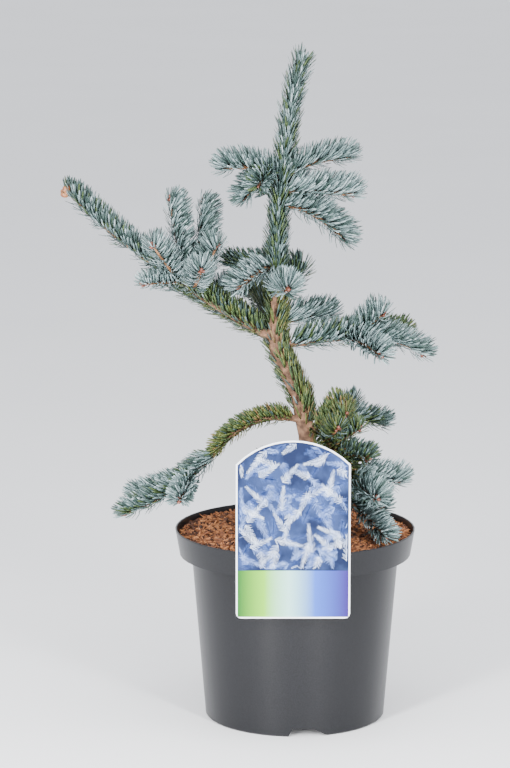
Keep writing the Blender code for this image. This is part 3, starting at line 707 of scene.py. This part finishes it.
def make_soil():
    """Coir: chips and fibres strewn over the soil, in three browns."""
    dice = random.Random(8)
    batch = Batch()
    block = [(a, b, c) for a in (-1, 1) for b in (-1, 1) for c in (-1, 1)]
    sides = [(0, 1, 3, 2), (4, 6, 7, 5), (0, 4, 5, 1), (2, 3, 7, 6), (0, 2, 6, 4), (1, 5, 7, 3)]
    for number in range(CHIPS + FIBRES):
        fibre = number >= CHIPS
        out = SOIL_RADIUS * sqrt(dice.random()) * STREWN_SHARE
        turn = dice.uniform(0, 2 * pi)
        size = tuple(dice.uniform(*reach) for reach in CHIP_HALF_SIZES)
        if fibre:
            size = (dice.uniform(*FIBRE_HALF_LENGTH), FIBRE_HALF_WIDTH, FIBRE_HALF_WIDTH)
        out = min(out, SOIL_RADIUS - size[0] * MM)
        lift = dice.uniform(*COIR_LIFT) * MM
        spot = Vector((out * cos(turn), out * sin(turn), soil_height(out) + lift))
        pose = (Matrix.Translation(spot) @ Matrix.Rotation(dice.uniform(0, 2 * pi), 4, "Z")
                @ Matrix.Rotation(dice.gauss(0, COIR_TILT), 4, "Y")
                @ Matrix.Rotation(dice.gauss(0, COIR_ROLL), 4, "X"))
        points = [pose @ Vector([axis * length * MM * dice.uniform(*CORNER_WEAR)
                                 for axis, length in zip(corner, size)]) for corner in block]
        batch.add(points, sides, dice.choices((0, 1, 2), COIR_SHARES)[0])
    browns = [
        finish_of("coir_orange", (0.24, 0.085, 0.03), (0.46, 0.19, 0.07), 160, 0.9),
        finish_of("coir_brown", (0.10, 0.035, 0.015), (0.25, 0.09, 0.035), 160, 0.95),
        finish_of("coir_dark", (0.03, 0.012, 0.007), (0.08, 0.03, 0.015), 160, 0.95),
    ]
    place("soil_chips", batch.mesh("soil_chips", smooth=False), browns)


def label_outline(inset, foot):
    """The label's outline, drawn in by an inset, from a foot height up over its arch."""
    low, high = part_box("label")
    middle = (low.x + high.x) / 2
    half = (high.x - low.x) / 2
    radius = (half * half + LABEL_ARCH * LABEL_ARCH) / (2 * LABEL_ARCH)
    centre = high.z - radius
    reach = half - inset
    points = [(middle + reach, foot)]
    for number in range(ARCH_POINTS):
        across = reach - 2 * reach * number / (ARCH_POINTS - 1)
        points.append((middle + across, centre + sqrt((radius - inset) ** 2 - across * across)))
    points.append((middle - reach, foot))
    return points


def flat_print(name, outline, front, finish):
    """A thin printed panel on the label's face."""
    work = bmesh.new()
    face = work.faces.new([work.verts.new((x, front, z)) for x, z in outline])
    grown = bmesh.ops.extrude_face_region(work, geom=[face])["geom"]
    moved = [part for part in grown if isinstance(part, bmesh.types.BMVert)]
    bmesh.ops.translate(work, vec=(0, -PRINT_DEPTH, 0), verts=moved)
    bmesh.ops.recalc_face_normals(work, faces=work.faces)
    mesh = bpy.data.meshes.new(name)
    work.to_mesh(mesh)
    work.free()
    place(name, mesh, [finish])


def strew_sprigs(low, high, left, right, band_top):
    """Frosted sprigs that fill the label's arch: deep blue at the back, the palest in front."""
    dice = random.Random(3)
    batch = Batch()
    edge = label_outline(PRINT_INSET + 1 * MM, band_top)
    arch = sorted(edge[1:-1])

    def inside(x, z):
        top = np.interp(x, [point[0] for point in arch], [point[1] for point in arch])
        return left + MM < x < right - MM and band_top + MM < z < top

    for number in range(SPRIGS):
        root = Vector((dice.uniform(left, right), dice.uniform(band_top, high.z)))
        level = dice.uniform(0, 2 * pi)
        length = dice.uniform(*SPRIG_LENGTH) * MM
        front = low.y - PRINT_DEPTH * (INK_FIRST_LAYER + number * INK_LAYER_STEP)
        kind = 2 if number < SPRIGS * DEEP_UNTIL else 1 if number < SPRIGS * BLUE_UNTIL else 0
        for step in range(SPRIG_STEPS):
            share = step / (SPRIG_STEPS - 1)
            spot = root + Vector((cos(level), sin(level))) * length * share
            for side in (-1, 0, 1):
                spread = BARB_ANGLE - BARB_ANGLE_LOSS * share
                turn = level + side * spread + dice.uniform(-BARB_WANDER, BARB_WANDER)
                way = Vector((cos(turn), sin(turn)))
                reach = (BARB_LENGTH - BARB_LENGTH_LOSS * share) * MM
                tip = spot + way * reach
                across = Vector((-way.y, way.x)) * INK_HALF_WIDTH * MM
                thin = across * BARB_TAPER
                corners = [spot - across, spot + across, tip + thin, tip - thin]
                if all(inside(*corner) for corner in corners):
                    batch.add([(c.x, front, c.y) for c in corners], [(3, 2, 1, 0)], kind)
    shades = (
        ("frost_white", (0.34, 0.43, 0.66), (0.66, 0.74, 0.88)),
        ("frost_blue", (0.09, 0.16, 0.42), (0.24, 0.34, 0.64)),
        ("frost_deep", (0.015, 0.035, 0.14), (0.06, 0.11, 0.30)),
    )
    inks = [finish_of(*shade, 160, INK_ROUGHNESS, specular=INK_SPECULAR) for shade in shades]
    place("label_sprigs", batch.mesh("label_sprigs", smooth=False), inks)


def make_label_print():
    """A generic print: frosted sprigs on slate blue over a plain coloured band."""
    low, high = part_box("label")
    band_top = low.z + BAND_HEIGHT
    left, right = low.x + PRINT_INSET, high.x - PRINT_INSET
    slate = finish_of("label_slate", (0.004, 0.01, 0.04), (0.022, 0.042, 0.12), 55,
                      INK_ROUGHNESS, specular=INK_SPECULAR)
    flat_print("label_panel", label_outline(PRINT_INSET, band_top), low.y, slate)
    band = [(left, low.z + PRINT_INSET), (right, low.z + PRINT_INSET), (right, band_top),
            (left, band_top)]
    flat_print("label_band", band, low.y, band_finish(left, right - left))
    strew_sprigs(low, high, left, right, band_top)


def round_normals(mesh):
    """For each corner of a face, the normal of the round wall that the face is a part of."""
    normals = []
    for face in mesh.polygons:
        level = sqrt(face.normal.x ** 2 + face.normal.y ** 2)
        for number in face.vertices:
            out = mesh.vertices[number].co.copy()
            out.z = 0
            out.normalize()
            facing = face.normal.dot(out)
            if level > WALL_LEVEL and abs(facing) > WALL_FACING * level:
                slope = Vector((0, 0, face.normal.z))
                normals.append(out * (level if facing > 0 else -level) + slope)
            else:
                normals.append(face.normal.copy())
    return normals


def make_pot():
    """The pot's solid again, its rim rounded and its walls smooth."""
    work = bmesh.new()
    work.from_mesh(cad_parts["pot"].data)
    bmesh.ops.remove_doubles(work, verts=work.verts, dist=MERGE_DISTANCE)
    bmesh.ops.dissolve_limit(work, angle_limit=radians(FLAT_ANGLE), verts=work.verts,
                             edges=work.edges)
    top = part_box("pot")[1].z - RIM_DEPTH
    rim = [edge for edge in work.edges
           if all(vert.co.z > top for vert in edge.verts) and edge.calc_face_angle(0) > RIM_ANGLE]
    bmesh.ops.bevel(work, geom=rim, offset=RIM_BEVEL, offset_type="OFFSET", segments=3,
                    profile=0.5, affect="EDGES", material=-1)
    bmesh.ops.recalc_face_normals(work, faces=work.faces)
    mesh = bpy.data.meshes.new("pot_shell")
    work.to_mesh(mesh)
    work.free()
    mesh.polygons.foreach_set("use_smooth", [True] * len(mesh.polygons))
    mesh.normals_split_custom_set(round_normals(mesh))
    black = finish_of("pot_black", (0.006, 0.0062, 0.0075), (0.01, 0.0103, 0.012), 900, 0.3, 0.06,
                      specular=0.24)
    place("pot_shell", mesh, [black], ["pot"])


def carry_solids():
    """The soil's body and the label's plate keep their solids and get their finishes."""
    finishes = {
        "soil": finish_of("coir_bed", (0.05, 0.018, 0.008), (0.16, 0.06, 0.02), 220, 0.95, 0.4),
        "label": finish_of("label_white", (0.72, 0.74, 0.78), (0.80, 0.82, 0.85), 40, 0.3),
    }
    for name, finish in finishes.items():
        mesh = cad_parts[name].data
        mesh.materials.clear()
        mesh.materials.append(finish)
        mesh.polygons.foreach_set("material_index", [0] * len(mesh.polygons))


def softbox(name, spot, aim, width, height, power):
    """A rectangular studio light that looks at a point."""
    light = bpy.data.lights.new(name, "AREA")
    light.shape = "RECTANGLE"
    light.size = width
    light.size_y = height
    light.energy = power
    lamp = bpy.data.objects.new(name, light)
    lamp.location = spot
    lamp.rotation_euler = (Vector(aim) - Vector(spot)).to_track_quat("-Z", "Y").to_euler()
    lamp.visible_camera = False
    bpy.context.scene.collection.objects.link(lamp)


def make_studio():
    """A pale floor, soft light and the photo's camera."""
    work = bmesh.new()
    bmesh.ops.create_grid(work, x_segments=1, y_segments=1, size=FLOOR_HALF)
    mesh = bpy.data.meshes.new("floor")
    work.to_mesh(mesh)
    work.free()
    floor = bpy.data.objects.new("floor", mesh)
    bpy.context.scene.collection.objects.link(floor)
    pale = finish_of("floor_pale", (0.84, 0.845, 0.86), (0.86, 0.865, 0.88), 2, 0.55)
    mesh.materials.append(pale)
    world = bpy.data.worlds.new("studio")
    world.use_nodes = True
    sky = world.node_tree.nodes["Background"]
    sky.inputs["Color"].default_value = SKY_COLOUR
    sky.inputs["Strength"].default_value = SKY_STRENGTH
    bpy.context.scene.world = world
    for light in LIGHTS:
        softbox(*light)
    lens = bpy.data.cameras.new("photo_camera")
    lens.lens = CAMERA_LENS
    camera = bpy.data.objects.new("photo_camera", lens)
    camera.location = CAMERA_PLACE
    camera.rotation_euler = (radians(CAMERA_PITCH), 0, 0)
    bpy.context.scene.collection.objects.link(camera)
    bpy.context.scene.camera = camera


def main():
    """Dress the plant, the pot and the label, and set up the studio."""
    carry_solids()
    make_pot()
    needles = [finish_of(name, dark, light, 260, 0.5, specular=0.35)
               for name, (dark, light) in NEEDLE_COLOURS.items()]
    bark = finish_of("bark", (0.055, 0.025, 0.012), (0.19, 0.10, 0.055), 170, 0.85, 0.5)
    twig = finish_of("twig", (0.13, 0.055, 0.02), (0.27, 0.13, 0.055), 240, 0.7, 0.2)
    bud = finish_of("bud", (0.08, 0.022, 0.014), (0.19, 0.06, 0.035), 500, 0.45, 0.2)
    resin = finish_of("resin_bud", (0.14, 0.04, 0.014), (0.32, 0.13, 0.05), 420, 0.4, 0.3)
    dress_plant(needles, bark, twig, bud, resin)
    make_soil()
    make_label_print()
    make_studio()
    bpy.context.view_layer.update()


main()
